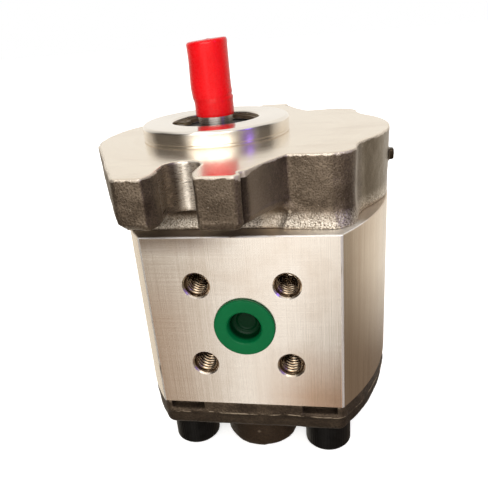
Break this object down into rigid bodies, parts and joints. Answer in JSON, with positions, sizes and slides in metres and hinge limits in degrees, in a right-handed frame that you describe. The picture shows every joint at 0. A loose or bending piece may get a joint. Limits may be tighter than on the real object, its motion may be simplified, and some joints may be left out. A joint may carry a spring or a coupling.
{
  "type": "hydraulic gear pump",
  "caption": "Compact external gear pump: open-slotted two-ear flange with round pilot, barrel-section body with square-bolted side ports, iron end cover, red shaft cap, green port plugs.",
  "frame": {"origin": "on the drive shaft axis, in the machined face of the mounting flange, at the foot of the pilot", "axes": "+Z out along the drive shaft, +X from the drive gear to the driven gear, the inlet port faces -Y and the outlet port faces +Y"},
  "size_m": [0.1011, 0.1206, 0.1369],
  "materials": {
    "cover_aluminium": "machined flange face and pilot, grey-brown as-cast walls",
    "body_aluminium": "extruded sides, finely milled port faces",
    "cover_iron": "dark brown-grey as-cast",
    "ground_steel": "ground and polished",
    "block_aluminium": "turned",
    "bush_bronze": "bronze-backed plain bush",
    "seal_rubber": "nitrile rubber",
    "spring_steel": "bright",
    "black_steel": "black oxide",
    "cap_red": "glossy soft vinyl",
    "plug_green": "soft satin polyethylene"
  },
  "bodies": {
    "housing": {"front_cover": "cover_aluminium", "pump_body": "body_aluminium", "rear_cover": "cover_iron", "shaft_seal": "seal_rubber", "garter_spring": "spring_steel", "retaining_ring": "black_steel", "cap_screws": "black_steel", "lock_washers": "black_steel", "front_bearing_block": "block_aluminium", "front_pressure_seal": "seal_rubber", "front_body_seal": "seal_rubber", "front_drive_bush": "bush_bronze", "front_driven_bush": "bush_bronze", "front_dowels": "ground_steel", "rear_bearing_block": "block_aluminium", "rear_pressure_seal": "seal_rubber", "rear_body_seal": "seal_rubber", "rear_drive_bush": "bush_bronze", "rear_driven_bush": "bush_bronze", "rear_dowels": "ground_steel"},
    "drive": {"drive_shaft": "ground_steel"},
    "driven": {"driven_shaft": "ground_steel"},
    "cap": {"shaft_cap": "cap_red"},
    "plug_in": {"inlet_plug": "plug_green"},
    "plug_out": {"outlet_plug": "plug_green"}
  },
  "joints": [
    {"name": "drive_spin", "type": "hinge", "parent": "housing", "child": "drive", "pos_m": [0, 0, 0], "axis": [0, 0, 1], "continuous": true},
    {"name": "driven_spin", "type": "hinge", "parent": "housing", "child": "driven", "pos_m": [0.027, 0, 0], "axis": [0, 0, 1], "continuous": true},
    {"name": "cap_slide", "type": "slide", "parent": "drive", "child": "cap", "axis": [0, 0, 1], "range_m": [0, 0.045]},
    {"name": "inlet_plug_slide", "type": "slide", "parent": "housing", "child": "plug_in", "axis": [0, -1, 0], "range_m": [0, 0.04]},
    {"name": "outlet_plug_slide", "type": "slide", "parent": "housing", "child": "plug_out", "axis": [0, 1, 0], "range_m": [0, 0.04]}
  ],
  "couplings": [
    {"joint": "driven_spin", "follows": "drive_spin", "ratio": -1}
  ]
}
